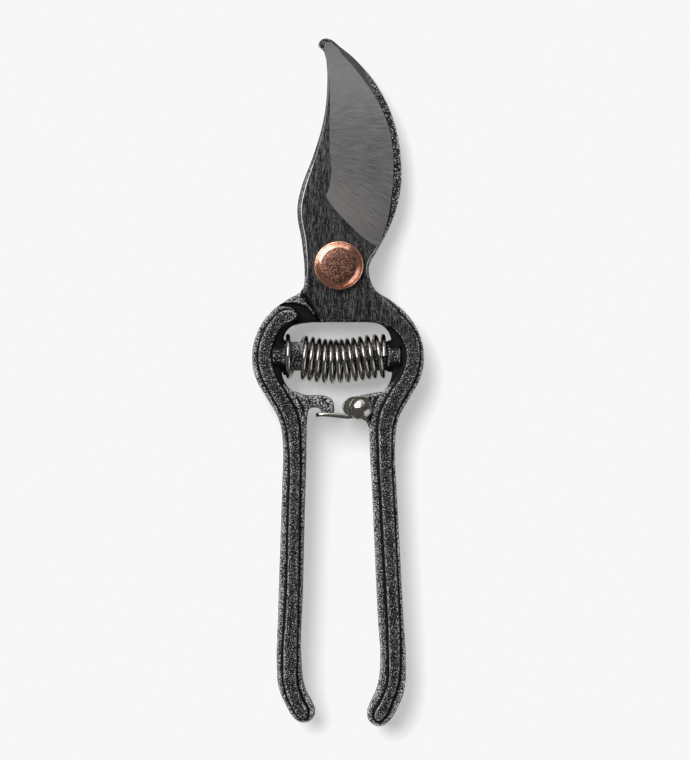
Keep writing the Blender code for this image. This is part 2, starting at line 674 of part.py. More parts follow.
def box(name, helpers, finish, low, high):
    """A plain box between two corners."""
    mesh = bpy.data.meshes.new(name)
    edit = bmesh.new()
    bmesh.ops.create_cube(edit, size=1.0)
    for vert in edit.verts:
        for axis in range(3):
            vert.co[axis] = high[axis] if vert.co[axis] > 0 else low[axis]
    edit.to_mesh(mesh)
    edit.free()
    mesh.materials.append(finish)
    obj = bpy.data.objects.new(name, mesh)
    helpers.objects.link(obj)
    return as_helper(obj)


def catch_arm_outline():
    """The arm's plan: its centre line moved out by half its width on each side."""
    half = CATCH_ARM_WIDTH / MM / 2
    upper = [(x, y + half) for x, y in CATCH_ARM]
    lower = [(x, y - half) for x, y in reversed(CATCH_ARM)]
    left_low, left_high = LIP_LOW_LEFT, LIP_HIGH_RIGHT
    return [
        *upper,
        (left_low[0], left_high[1], CORNER),
        (left_low[0], left_low[1], CORNER),
        *lower,
    ]


def latch_catch(collection, helpers, finish):
    """Catch that turns on the rivet: a hub, an arm in front of the left lug and a bent lip."""
    catch = outline("latch_catch", collection, finish, catch_arm_outline(), CATCH_LOW, CATCH_HIGH, 3)
    hub = bore("catch_hub", helpers, CATCH_HUB_RADIUS, CATCH_LOW, CATCH_HIGH, RIVET_X, RIVET_Y)
    boolean(catch, hub, "UNION")
    heel = bore("catch_heel", helpers, CATCH_HUB_RADIUS, CATCH_LOW, CATCH_HIGH,
                RIVET_X + CATCH_HEEL_X, RIVET_Y + CATCH_HEEL_Y)
    boolean(catch, heel, "UNION")
    lip = box("catch_lip", helpers, finish,
              (LIP_LOW_LEFT[0] * MM, LIP_LOW_LEFT[1] * MM, CATCH_HIGH - LIP_DROP),
              (LIP_HIGH_RIGHT[0] * MM, LIP_HIGH_RIGHT[1] * MM, CATCH_HIGH))
    boolean(catch, lip, "UNION")
    hole = bore("catch_bore", helpers, RIVET_SHANK_RADIUS + SHANK_CLEARANCE, 0.0,
                CATCH_HIGH + MM, RIVET_X, RIVET_Y)
    boolean(catch, hole, "DIFFERENCE")
    return catch


def move_origin(obj, place):
    """Puts a mesh object's origin on its joint axis without moving its shape."""
    shift = Vector(place) - obj.location
    for vert in obj.data.vertices:
        vert.co -= shift
    obj.location = place


def main():
    clear_scene()
    model = new_collection("pruning_shears")
    helpers = new_collection("cutters")
    helpers.hide_render = True
    paint = painted_steel()
    steel = ground_steel()
    copper = copper_plate()
    zinc = zinc_plate()
    nickel = nickel_plate()
    blade_half(model, helpers, paint, steel)
    hook_half(model, helpers, paint)
    pivot_bolt(model, copper)
    pivot_washer(model, zinc)
    pivot_nut(model, helpers, zinc)
    return_spring(model, spring_steel())
    latch_rivet(model, nickel)
    latch_washer(model, nickel)
    catch = latch_catch(model, helpers, nickel)
    move_origin(catch, (RIVET_X, RIVET_Y, catch.location.z))


main()
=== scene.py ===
"""Visible pieces, finishes, stage and camera for a pair of forged pruning shears."""

import math

import bmesh
import bpy
import numpy as np
from bpy.props import FloatProperty, FloatVectorProperty, PointerProperty
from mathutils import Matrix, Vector


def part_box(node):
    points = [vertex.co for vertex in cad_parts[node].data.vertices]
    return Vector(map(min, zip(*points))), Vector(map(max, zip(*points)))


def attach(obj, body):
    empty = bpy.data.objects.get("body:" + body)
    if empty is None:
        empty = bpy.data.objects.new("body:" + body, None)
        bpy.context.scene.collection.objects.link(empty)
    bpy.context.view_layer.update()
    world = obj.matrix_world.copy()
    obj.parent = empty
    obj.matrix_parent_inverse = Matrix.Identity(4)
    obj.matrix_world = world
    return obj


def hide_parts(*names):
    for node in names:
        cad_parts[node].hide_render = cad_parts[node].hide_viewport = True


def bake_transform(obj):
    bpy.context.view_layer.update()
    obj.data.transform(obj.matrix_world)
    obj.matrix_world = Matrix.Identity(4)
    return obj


bl_info = {
    "name": "Pruning shears",
    "version": (1, 0, 0),
    "blender": (4, 5, 0),
    "location": "3D View > Sidebar > Shears",
    "description": "Builds the visible pieces of forged pruning shears on a packed frame",
    "category": "Object",
}

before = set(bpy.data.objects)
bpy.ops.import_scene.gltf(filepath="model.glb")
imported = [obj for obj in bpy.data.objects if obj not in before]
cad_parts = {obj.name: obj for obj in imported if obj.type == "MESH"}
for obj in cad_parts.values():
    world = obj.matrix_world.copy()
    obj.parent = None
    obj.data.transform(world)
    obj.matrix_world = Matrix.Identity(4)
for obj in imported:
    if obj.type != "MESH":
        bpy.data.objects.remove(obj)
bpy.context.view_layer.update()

MM = 0.001
WELD = 0.002 * MM

# Heights shared by the pieces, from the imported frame
MIDDLE_Z = (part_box("blade_half")[0].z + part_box("blade_half")[1].z) / 2
FACE_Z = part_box("blade_half")[1].z

# The blade forging is shown as a crisp blade and a softer handle, which meet under the bolt
SEAM_Y = -3.2 * MM
SEAM_OVERLAP = 1.5 * MM

# Blade outlines in millimetres from the pivot axis, needed for the finishes
CUTTING_EDGE = [
    (-3.4, 67.3), (1.6, 62.8), (6.2, 57.5), (10.6, 51.2), (14.1, 44.2), (16.0, 36.5),
    (16.4, 28.5), (15.7, 20.3), (14.4, 13.0), (12.9, 8.4), (11.6, 4.8),
]

# Hollows beside the step between hook and neck: (x, y, reach) in millimetres
STEP_HOLLOW = [(-10.4, -9.0, 0.75), (-7.4, -12.1, 1.0), (-4.4, -15.4, 0.8)]
SCOOP_HOLLOW = [
    (-17.6, -11.7, 0.3), (-15.4, -11.5, 0.5), (-13.4, -11.9, 0.8), (-11.8, -12.8, 1.3),
    (-10.4, -13.8, 1.7), (-9.0, -14.6, 1.2), (-10.6, -15.4, 1.2), (-13.0, -16.6, 0.7),
]

# Catch arm, from its root to the lip's foot: (x, y, z, share of the arm's width) in millimetres
ARM_ROUTE = [
    (5.6, -45.0, 12.5, 0.55), (4.4, -45.1, 12.5, 0.75), (2.6, -45.1, 12.5, 1.0),
    (0.4, -44.85, 12.5, 1.0), (-2.0, -44.6, 12.5, 0.92), (-4.4, -44.45, 12.5, 0.85),
    (-5.8, -44.5, 12.4, 0.8), (-6.4, -44.6, 11.9, 0.8), (-6.5, -44.65, 10.9, 0.8),
    (-6.5, -44.65, 9.4, 0.7),
]
ARM_HALF_THICKNESS = 0.42 * MM

# Material slots of the cutting blade
NECK, BEVEL, SIDE, SPINE = range(4)

# Material slots of the bolt
RIM, FACE = range(2)

# Spring: its wire's advance along the axis over each half turn, the first half being at the back
SPRING_RADIUS = 6.1 * MM
SPRING_LEFT_X = -16.3 * MM
SPRING_Y = -27.0 * MM
SPRING_BOW = 1.6 * MM
SPRING_HALF_TURNS = [0.9, 0.65, 4.0, *[1.0] * 22, 1.95, 0.15, 0.5]
SPRING_START = 0.2
SPRING_END_SHORT = 0.5


# ---------------------------------------------------------------- shader expressions


class Value:
    """A shader socket that can stand in an arithmetic expression."""

    def __init__(self, finish, socket):
        self.finish = finish
        self.socket = socket

    def math(self, operation, first, second=0.0):
        return self.finish.node("ShaderNodeMath", {"operation": operation}, {0: first, 1: second})

    def __add__(self, other):
        return self.math("ADD", self, other)

    def __radd__(self, other):
        return self.math("ADD", other, self)

    def __sub__(self, other):
        return self.math("SUBTRACT", self, other)

    def __rsub__(self, other):
        return self.math("SUBTRACT", other, self)

    def __mul__(self, other):
        return self.math("MULTIPLY", self, other)

    def __rmul__(self, other):
        return self.math("MULTIPLY", other, self)

    def __truediv__(self, other):
        return self.math("DIVIDE", self, other)

    def __abs__(self):
        return self.math("ABSOLUTE", self)


class Finish:
    """A material being made: adds nodes and feeds the shader."""

    def __init__(self, name):
        self.material = bpy.data.materials.new(name)
        self.material.use_nodes = True
        self.tree = self.material.node_tree
        self.shader = self.tree.nodes["Principled BSDF"]

    def node(self, kind, settings=None, sockets=None, output=0):
        """Adds a node, sets it up, gives its sockets values or links, and returns one output."""
        made = self.tree.nodes.new(kind)
        for name, value in (settings or {}).items():
            setattr(made, name, value)
        for name, value in (sockets or {}).items():
            if isinstance(value, Value):
                self.tree.links.new(value.socket, made.inputs[name])
            else:
                made.inputs[name].default_value = value
        return Value(self, made.outputs[output])

    def feed(self, **values):
        """Feeds the shader's sockets: spaces in their names are written as underscores."""
        for name, value in values.items():
            socket = self.shader.inputs[name.replace("_", " ")]
            if isinstance(value, Value):
                self.tree.links.new(value.socket, socket)
            else:
                socket.default_value = (*value, 1.0) if isinstance(value, tuple) else value

    def place(self):
        """The point of the surface, in millimetres in the shears' own frame."""
        point = self.node("ShaderNodeTexCoord", output="Object")
        return self.node("ShaderNodeVectorMath", {"operation": "SCALE"}, {0: point, "Scale": 1000.0})

    def split(self, vector):
        """The three parts of a vector."""
        parts = self.node("ShaderNodeSeparateXYZ", sockets={0: vector})
        outputs = parts.socket.node.outputs
        return [Value(self, outputs[i]) for i in range(3)]

    def join(self, x, y, z):
        return self.node("ShaderNodeCombineXYZ", sockets={0: x, 1: y, 2: z})

    def noise(self, where, scale, detail=2.0, roughness=0.5):
        return self.node(
            "ShaderNodeTexNoise",
            sockets={"Vector": where, "Scale": scale, "Detail": detail, "Roughness": roughness},
        )

    def cells(self, where, scale, feature="F1"):
        return self.node(
            "ShaderNodeTexVoronoi", {"feature": feature}, {"Vector": where, "Scale": scale}
        )

    def step(self, value, low, high, start=0.0, end=1.0):
        """Goes smoothly from start to end as the value goes from low to high."""
        return self.node(
            "ShaderNodeMapRange", {"interpolation_type": "SMOOTHSTEP"},
            {"Value": value, "From Min": low, "From Max": high, "To Min": start, "To Max": end},
        )

    def mixed(self, share, first, second, blend="MIX"):
        """Two colours mixed by a share from 0 to 1."""
        ends = [(*c, 1.0) if isinstance(c, tuple) else c for c in (first, second)]
        return self.node(
            "ShaderNodeMix", {"data_type": "RGBA", "blend_type": blend},
            {0: share, 6: ends[0], 7: ends[1]}, output=2,
        )

    def bump(self, height, distance, strength=1.0):
        """Turns a height from 0 to 1 into a normal, the distance being in metres."""
        return self.node(
            "ShaderNodeBump", sockets={"Strength": strength, "Distance": distance, "Height": height}
        )

    def attribute(self, name):
        return self.node("ShaderNodeAttribute", {"attribute_name": name}, output="Fac")

    def facing(self):
        """The parts of the surface normal in the shears' own frame."""
        normal = self.node("ShaderNodeTexCoord", output="Normal")
        return self.split(normal)


# ---------------------------------------------------------------- finishes


def wrinkle_layers(finish, paint, fleck_and_highlight):
    """Colour, roughness and height of the black wrinkle paint, with wear and a painted highlight
    along the outer edges, painted light on slopes facing the light, and painted shade in creases,
    walls and hollows.
    """
    where = finish.place()
    grain = finish.noise(where, 2.0, 3.0, 0.6)
    pits = finish.cells(where, 2.1)
    height = grain * 0.8 + pits * 0.5
    # The edge mask lightens outer edges both as wear and as a painted highlight.
    edge_wear_and_highlight = finish.attribute("edge")
    # Painted shade: the shade mask darkens the loop's inner walls and the hollows beside the step
    # and behind the rib's end.
    black = finish.attribute("shade")
    cloud = finish.noise(where, 0.3, 1.0)
    _, y, z = finish.split(where)
    on_handle = finish.step(y, -14.0, -6.0, 1.0, 0.0)
    # Painted light and shade by height: the low flange border is made lighter and the raised rib top
    # darker.
    border_light_top_shade = finish.step(abs(z - MIDDLE_Z / MM), 3.4, 4.3, 0.020, -0.045) * on_handle
    # Painted light on slopes that face up and to the left, and painted shade on steep side walls.
    across, up, out = finish.facing()
    slope = finish.step(out, 0.98, 0.85) * finish.step(out, 0.15, 0.40)
    lit = (up * 0.5 - across * 0.7) * slope
    wall_shade = finish.step(abs(out), 0.35, 0.10)
    # Painted shade along concave creases.
    crease_shade = finish.step(edge_wear_and_highlight, -0.02, -0.25)
    # The speckle share is random grain plus the painted light and shade above.
    speckle_and_light = finish.noise(where, 3.1, 1.0)
    speckle_and_light = speckle_and_light + (cloud - 0.5) * 0.10 + edge_wear_and_highlight * 0.12 - (black + crease_shade * 0.5) * 0.4 + border_light_top_shade
    speckle_and_light = speckle_and_light + lit * 0.06 - (1 - on_handle) * 0.03 - wall_shade * 0.05
    specks = finish.step(speckle_and_light, 0.47, 0.63)
    # Painted highlight: the brightest specks get a glint colour three times the speck colour.
    glints = finish.step(speckle_and_light, 0.60, 0.68)
    colour = finish.mixed(specks * specks, paint, fleck_and_highlight)
    colour = finish.mixed(glints, colour, tuple(min(1.0, 3.2 * c) for c in fleck_and_highlight))
    rough = finish.step(grain, 0.3, 0.7, 0.28, 0.44) + black * 0.3
    return colour, rough, height * (1 - black * 0.7)


def wrinkle_paint(name, colours):
    """Fine black wrinkle paint on a forging."""
    finish = Finish(name)
    colour, rough, height = wrinkle_layers(finish, tuple(colours.paint), tuple(colours.fleck_and_highlight))
    finish.feed(Base_Color=colour, Roughness=rough, Normal=finish.bump(height, 0.20 * MM, 1.0))
    finish.feed(Metallic=0.0, Specular_IOR_Level=0.12)
    return finish.material


def brushed_layers(finish, dark, light):
    """Colour and height of dark steel brushed along the shears."""
    x, y, z = finish.split(finish.place())
    fine = finish.noise(finish.join(x * 5.2, y * 0.4, z * 2.0), 1.0, 2.0, 0.7)
    broad = finish.noise(finish.join(x * 0.9, y * 0.05, z), 1.0, 2.0)
    grit = finish.noise(finish.join(x, y, z), 3.0, 1.0)
    streak = finish.step(fine * 0.6 + broad * 0.15 + grit * 0.25, 0.42, 0.60)
    return finish.mixed(streak * streak, dark, light), streak


def neck_steel(name, colours):
    """Dark steel of the neck, brushed along the blade."""
    finish = Finish(name)
    colour, streak = brushed_layers(finish, tuple(colours.neck_dark), tuple(colours.neck_light))
    finish.feed(Base_Color=colour, Roughness=finish.step(streak, 0.0, 1.0, 0.46, 0.34))
    finish.feed(Metallic=0.85, Normal=finish.bump(streak, 0.03 * MM, 0.7))
    return finish.material


def handle_paint(name, colours):
    """Wrinkle paint that gives way to brushed steel on the neck's face."""
    finish = Finish(name)
    paint, rough, height = wrinkle_layers(finish, tuple(colours.paint), tuple(colours.fleck_and_highlight))
    steel, streak = brushed_layers(finish, tuple(colours.neck_dark), tuple(colours.neck_light))
    x, y, z = finish.split(finish.place())
    up = finish.step(finish.facing()[2], 0.80, 0.97)
    high = finish.step(z, FACE_Z / MM - 0.8, FACE_Z / MM - 0.2)
    ragged = finish.noise(finish.join(x * 1.2, y * 0.25, z), 1.0, 2.0)
    near = finish.step(y + (ragged - 0.5) * 12.0, -32.0, -17.0)
    bare = up * high * near
    finish.feed(Base_Color=finish.mixed(bare, paint, steel), Metallic=bare * 0.85)
    finish.feed(Roughness=rough * (1 - bare) + 0.42 * bare)
    finish.feed(Normal=finish.bump(height * (1 - bare) + streak * bare * 0.25, 0.20 * MM, 1.0))
    finish.feed(Specular_IOR_Level=0.12)
    return finish.material


def ground_steel(name, colours):
    """Bare steel with grinding lines that fan out across the bevel."""
    finish = Finish(name)
    x, y, _ = finish.split(finish.place())
    across = x + 25.0
    along = y - 40.0
    angle = across.math("ARCTAN2", along, across)
    reach = across.math("SQRT", across * across + along * along)
    ripple = finish.noise(finish.join(x * 0.3, y * 0.3, 5.0), 1.0, 2.0) * 0.035
    fine = finish.noise(finish.join((angle + ripple) * 135.0, reach * 0.15, 0.0), 1.0, 3.0, 0.75)
    waves = finish.noise(finish.join(x * 0.25, y * 0.7, 3.0), 1.0, 2.0)
    line = fine * 0.85 + waves * 0.15
    colour = finish.mixed(finish.step(line, 0.36, 0.64), tuple(colours.ground_dark),
                          tuple(colours.ground_light))
    heel = finish.step(x + y, 36.0, 16.0, 0.0, 0.30)
    colour = finish.mixed(heel, colour, tuple(1.5 * c for c in colours.ground_warm))
    colour = finish.mixed(finish.step(y, 36.0, 66.0, 0.0, 0.5), colour,
                          tuple(1.5 * c for c in colours.ground_light))
    finish.feed(Base_Color=colour, Roughness=finish.step(line, 0.3, 0.7, 0.46, 0.40))
    finish.feed(Metallic=1.0, Normal=finish.bump(line, 0.004 * MM, 0.5))
    return finish.material


def spine_steel(name, colours):
    """Pale pitted steel on the chamfer along the blade's back, with a painted highlight along its
    inner edge and painted shade along its outer edge.
    """
    finish = Finish(name)
    where = finish.place()
    pits = finish.noise(where, 2.4, 2.0, 0.6)
    colour = finish.mixed(finish.step(pits, 0.38, 0.62), tuple(2.0 * c for c in colours.neck_dark),
                          tuple(1.5 * c for c in colours.neck_light))
    arris = finish.attribute("arris")
    # Painted highlight along the chamfer's inner edge, then painted shade along its outer edge.
    colour = finish.mixed(finish.step(arris, 0.84, 0.97), colour, (0.8, 0.8, 0.8))
    colour = finish.mixed(finish.step(arris, 0.22, 0.08), colour, tuple(colours.neck_dark))
    finish.feed(Base_Color=colour, Roughness=finish.step(pits, 0.3, 0.7, 0.5, 0.38))
    finish.feed(Metallic=0.5, Normal=finish.bump(pits, 0.10 * MM, 0.8))
    return finish.material


def hook_paint(name, colours):
    """Wrinkle paint with a band ground smooth along the blade near the tip."""
    finish = Finish(name)
    paint, rough, height = wrinkle_layers(finish, tuple(colours.paint), tuple(colours.fleck_and_highlight))
    bare = finish.attribute("ground")
    x, y, z = finish.split(finish.place())
    line = finish.noise(finish.join(x * 2.2 + y * 2.2, (x - y) * 0.2, z), 1.0, 2.0)
    steel = finish.mixed(line, tuple(0.18 * c for c in colours.ground_dark),
                         tuple(0.30 * c for c in colours.ground_light))
    finish.feed(Base_Color=finish.mixed(bare, paint, steel), Metallic=bare)
    finish.feed(Roughness=rough * (1 - bare) + 0.42 * bare, Specular_IOR_Level=0.12)
    finish.feed(Normal=finish.bump(height * (1 - bare), 0.20 * MM, 1.0))
    return finish.material


def copper_rim(name, colours):
    """Bright copper plating."""
    finish = Finish(name)
    where = finish.place()
    dull = finish.noise(where, 0.9, 3.0)
    colour = finish.mixed(finish.step(dull, 0.35, 0.7), tuple(colours.copper),
                          tuple(0.62 * c for c in colours.copper))
    dents = finish.noise(where, 1.6, 2.0)
    finish.feed(Base_Color=colour, Roughness=finish.step(dull, 0.3, 0.7, 0.12, 0.26))
    finish.feed(Metallic=1.0, Normal=finish.bump(dents, 0.05 * MM, 0.6))
    return finish.material


def copper_face(name, colours):
    """Fine-textured copper on the bolt's flat face."""
    finish = Finish(name)
    where = finish.place()
    grain = finish.noise(where, 1.9, 3.0, 0.65)
    pits = finish.cells(where, 2.2)
    height = grain * 0.7 + pits * 0.5
    colour = finish.mixed(finish.step(height, 0.52, 0.74), tuple(0.09 * c for c in colours.copper),
                          tuple(0.42 * c for c in colours.copper))
    finish.feed(Base_Color=colour, Roughness=finish.step(grain, 0.3, 0.7, 0.26, 0.4))
    finish.feed(Metallic=1.0, Normal=finish.bump(height, 0.10 * MM, 0.8))
    return finish.material


def plated(name, colour, roughness, dent, dent_scale):
    """Bright plating with shallow dents and slight tarnish."""
    finish = Finish(name)
    where = finish.place()
    tarnish = finish.noise(where, 0.7, 3.0)
    dents = finish.noise(where, dent_scale, 2.0)
    shade = finish.mixed(finish.step(tarnish, 0.35, 0.75), colour, tuple(0.6 * c for c in colour))
    finish.feed(Base_Color=shade, Metallic=1.0)
    finish.feed(Roughness=finish.step(tarnish, 0.3, 0.7, roughness, roughness * 1.7))
    finish.feed(Normal=finish.bump(dents, dent, 0.8))
    return finish.material


def floor_finish(name, colours):
    """Plain pale floor."""
    finish = Finish(name)
    mottle = finish.noise(finish.place(), 0.02, 2.0)
    colour = finish.mixed(mottle, tuple(colours.floor), tuple(0.99 * c for c in colours.floor))
    finish.feed(Base_Color=colour, Roughness=0.9, Specular_IOR_Level=0.1)
    finish.feed(Emission_Color=(1.0, 1.0, 1.0), Emission_Strength=0.32)
    return finish.material


# ---------------------------------------------------------------- mesh helpers


def piece(name, mesh, finishes, sharp=math.radians(35)):
    """Links a mesh as a piece, smooth except where it turns sharply."""
    obj = bpy.data.objects.new(name, mesh)
    bpy.context.scene.collection.objects.link(obj)
    for finish in finishes:
        mesh.materials.append(finish)
    mesh.shade_smooth()
    mesh.set_sharp_from_angle(angle=sharp)
    return obj


def mesh_from(edit, name):
    """Turns an edit mesh into a mesh, facing out."""
    bmesh.ops.recalc_face_normals(edit, faces=edit.faces)
    mesh = bpy.data.meshes.new(name)
    edit.to_mesh(mesh)
    edit.free()
    return mesh


def cut_across(edit, y, keep_tip_side):
    """Cuts a closed edit mesh at a distance from the pivot and closes the cut."""
    bmesh.ops.bisect_plane(
        edit, geom=[*edit.verts, *edit.edges, *edit.faces], plane_co=(0.0, y, 0.0),
        plane_no=(0.0, 1.0, 0.0), clear_inner=keep_tip_side, clear_outer=not keep_tip_side,
    )
    rim = [edge for edge in edit.edges if edge.is_boundary]
    bmesh.ops.holes_fill(edit, edges=rim, sides=0)


def forging(node):
    """An edit mesh of a forging, welded closed."""
    edit = bmesh.new()
    edit.from_mesh(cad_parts[node].data)
    bmesh.ops.remove_doubles(edit, verts=edit.verts, dist=WELD)
    return edit


def softened(mesh, voxel, rounds):
    """The mesh rebuilt in small even faces and smoothed, as a forging's edges are."""
    obj = bpy.data.objects.new("soft", mesh)
    bpy.context.scene.collection.objects.link(obj)
    remesh = obj.modifiers.new("remesh", "REMESH")
    remesh.mode = "VOXEL"
    remesh.voxel_size = voxel
    smooth = obj.modifiers.new("smooth", "SMOOTH")
    smooth.factor = 0.5
    smooth.iterations = rounds
    graph = bpy.context.evaluated_depsgraph_get()
    made = bpy.data.meshes.new_from_object(obj.evaluated_get(graph))
    bpy.data.objects.remove(obj, do_unlink=True)
    return made


def mesh_arrays(mesh):
    """Points, normals and edges of a mesh as arrays."""
    points = np.empty(len(mesh.vertices) * 3)
    normals = np.empty(len(mesh.vertices) * 3)
    edges = np.empty(len(mesh.edges) * 2, np.int32)
    mesh.vertices.foreach_get("co", points)
    mesh.vertices.foreach_get("normal", normals)
    mesh.edges.foreach_get("vertices", edges)
    return points.reshape(-1, 3), normals.reshape(-1, 3), edges.reshape(-1, 2)


def set_mask(mesh, name, values):
    """Stores one number for each point of a mesh."""
    layer = mesh.attributes.new(name, "FLOAT", "POINT")
    layer.data.foreach_set("value", np.asarray(values, np.float32))


def spread(values, edges, rounds):
    """Evens values out over neighbouring points."""
    count = np.bincount(edges.ravel(), minlength=len(values))
    for _ in range(rounds):
        total = np.bincount(edges[:, 0], values[edges[:, 1]], len(values))
        total += np.bincount(edges[:, 1], values[edges[:, 0]], len(values))
        values = 0.5 * values + 0.5 * total / np.maximum(count, 1)
    return values


def smooth_step(values, low, high):
    """Goes smoothly from 0 to 1 as the values go from low to high."""
    share = np.clip((values - low) / (high - low), 0.0, 1.0)
    return share * share * (3.0 - 2.0 * share)


def near_path(points, path):
    """How fully each point lies within a path of (x, y, reach) discs, in millimetres."""
    share = np.zeros(len(points))
    for (x0, y0, r0), (x1, y1, r1) in zip(path, path[1:]):
        along = np.array([x1 - x0, y1 - y0])
        off = points[:, :2] - (x0, y0)
        t = np.clip(off @ along / (along @ along), 0.0, 1.0)
        gap = np.hypot(*(off - t[:, None] * along).T)
        share = np.maximum(share, 1.0 - smooth_step(gap / (r0 + (r1 - r0) * t), 0.75, 1.3))
    return share


def shaded_hollows(points):
    """How deep in a smooth hollow each point of a forging lies, which sets the painted shade there:
    loop walls and the step.
    """
    x, y, z = points.T
    level = np.abs(z - MIDDLE_Z / MM)
    ring = np.hypot((x + 0.6) / 20.2, (y + 27.0) / 13.2)
    walls = smooth_step(ring, 0.78, 0.84) * (1.0 - smooth_step(ring, 0.97, 1.04))
    walls *= (1.0 - smooth_step(level, 3.5, 4.5)) * smooth_step(y, -39.0, -36.5)
    step = near_path(points, STEP_HOLLOW)
    scoop = near_path(points, SCOOP_HOLLOW) * (y > -18.0) * (x < -5.0)
    return walls, step, scoop


def finish_forging(mesh, hollow):
    """Sinks the hollows beside the step, marks edges for wear and painted highlight, and marks the
    dark hollows for painted shade.
    """
    points, normals, _ = mesh_arrays(mesh)
    walls, step, scoop = shaded_hollows(points / MM)
    front = smooth_step(normals[:, 2], 0.2, 0.7)
    if hollow:
        points[:, 2] -= front * np.maximum(0.9 * step, 1.3 * scoop) * MM
        mesh.vertices.foreach_set("co", points.ravel())
        mesh.update()
    set_mask(mesh, "shade", np.clip(walls + front * np.maximum(step, scoop), 0.0, 1.0))
    mark_edges(mesh)


def mark_edges(mesh):
    """Marks how much each point stands on an outer edge, where paint wears first and gets a painted
    highlight; creases come out below zero and get painted shade.
    """
    points, normals, edges = mesh_arrays(mesh)
    along = points[edges[:, 1]] - points[edges[:, 0]]
    turn = normals[edges[:, 1]] - normals[edges[:, 0]]
    bend = (turn * along).sum(1) / np.maximum((along * along).sum(1), 1e-12)
    total = np.bincount(edges[:, 0], bend, len(points))
    total += np.bincount(edges[:, 1], bend, len(points))
    count = np.bincount(edges.ravel(), minlength=len(points))
    bend = spread(total / np.maximum(count, 1), edges, 2) * MM
    set_mask(mesh, "edge", np.clip(bend, -1.0, 1.0))


def even_normals(mesh, slots):
    """Gives the faces of each slot normals that change smoothly along the blade."""
    reach = 5.0 * MM
    count = len(mesh.loops)
    corners = np.empty(count * 3)
    mesh.corner_normals.foreach_get("vector", corners)
    corners = corners.reshape(-1, 3)
    faces = [(f.material_index, f.center.y, *f.normal, f.area) for f in mesh.polygons]
    faces = np.array(faces)
    for slot in slots:
        chosen = faces[faces[:, 0] == slot]
        for face in mesh.polygons:
            if face.material_index != slot:
                continue
            for loop in face.loop_indices:
                y = mesh.vertices[mesh.loops[loop].vertex_index].co.y
                weight = chosen[:, 5] * np.exp(-(((chosen[:, 1] - y) / reach) ** 2))
                normal = weight @ chosen[:, 2:5]
                corners[loop] = normal / np.linalg.norm(normal)
    mesh.normals_split_custom_set(corners)


def lathe(name, profile, steps, centre=(0.0, 0.0)):
    """A turned mesh about an upright axis, from a (radius, height) profile listed from the top."""
    edit = bmesh.new()
    rings = []
    for radius, height in profile:
        if radius == 0.0:
            rings.append([edit.verts.new((centre[0], centre[1], height))])
            continue
        ring = []
        for step in range(steps):
            angle = 2 * math.pi * step / steps
            x = centre[0] + radius * math.cos(angle)
            y = centre[1] + radius * math.sin(angle)
            ring.append(edit.verts.new((x, y, height)))
        rings.append(ring)
    for first, second in zip(rings, rings[1:]):
        for i in range(steps):
            j = (i + 1) % steps
            if len(first) == 1:
                edit.faces.new((first[0], second[i], second[j]))
            elif len(second) == 1:
                edit.faces.new((first[i], second[0], first[j]))
            else:
                edit.faces.new((first[i], second[i], second[j], first[j]))
    return mesh_from(edit, name)


def ring_profile(inner, outer, low, high, edge):
    """The profile of a flat ring with broken edges, closed on itself."""
    return [
        (inner, high), (outer - edge, high), (outer, high - edge), (outer, low + edge),
        (outer - edge, low), (inner, low), (inner, high),
    ]


def welded(mesh):
    """Closes a turned ring where its profile ends at its start."""
    edit = bmesh.new()
    edit.from_mesh(mesh)
    bmesh.ops.remove_doubles(edit, verts=edit.verts, dist=WELD)
    bmesh.ops.recalc_face_normals(edit, faces=edit.faces)
    edit.to_mesh(mesh)
    edit.free()
    return mesh


# ---------------------------------------------------------------- sizes and colours


def length(name, description, default):
    return FloatProperty(name=name, description=description, default=default, min=0.0,
                         unit="LENGTH", precision=5)


def tint(name, description, default):
    return FloatVectorProperty(name=name, description=description, default=default,
                               subtype="COLOR", min=0.0, max=1.0)


class ShearsSizes(bpy.types.PropertyGroup):
    """Sizes of the visible detail."""

    grain: length("Forging detail", "Size of the faces that the forgings are rebuilt in", 0.25 * MM)
    wire: length("Wire radius", "Radius of the spring's wire", 0.72 * MM)
    bolt_face: length("Bolt face radius", "Radius of the bolt's flat face", 5.35 * MM)
    bolt_groove: length("Bolt groove radius", "Radius of the groove inside the rim", 6.35 * MM)
    dome: length("Rivet dome radius", "Radius of the catch rivet's domed head", 3.6 * MM)
    arm: length("Catch arm width", "Width of the catch's arm at its root", 1.5 * MM)


class ShearsColours(bpy.types.PropertyGroup):
    """Colours of the finishes."""

    paint: tint("Paint", "Black wrinkle paint", (0.004, 0.004, 0.0044))
    # This colour gives the paint's real light specks and rubbed edges, and also its painted
    # highlights on lit slopes, low borders, outer edges and glints.
    fleck_and_highlight: tint("Fleck", "Light specks and rubbed edges of the paint", (0.19, 0.19, 0.193))
    neck_dark: tint("Neck, dark", "Dark streaks of the brushed neck", (0.008, 0.008, 0.0084))
    neck_light: tint("Neck, light", "Light streaks of the brushed neck", (0.135, 0.135, 0.137))
    ground_dark: tint("Bevel, dark", "Dark grinding lines", (0.19, 0.187, 0.186))
    ground_light: tint("Bevel, light", "Light grinding lines", (0.42, 0.411, 0.408))
    ground_warm: tint("Bevel, warm", "Straw tint at the heel of the bevel", (0.44, 0.41, 0.39))
    copper: tint("Copper", "Copper plating of the bolt", (0.84, 0.42, 0.30))
    spring: tint("Spring", "Nickel-plated spring wire", (0.42, 0.40, 0.365))
    nickel: tint("Nickel", "Nickel-plated catch and rivet", (0.43, 0.41, 0.37))
    zinc: tint("Zinc", "Zinc-plated nut and washers", (0.50, 0.49, 0.47))
    floor: tint("Floor", "Plain floor", (0.86, 0.86, 0.86))


# ---------------------------------------------------------------- pieces


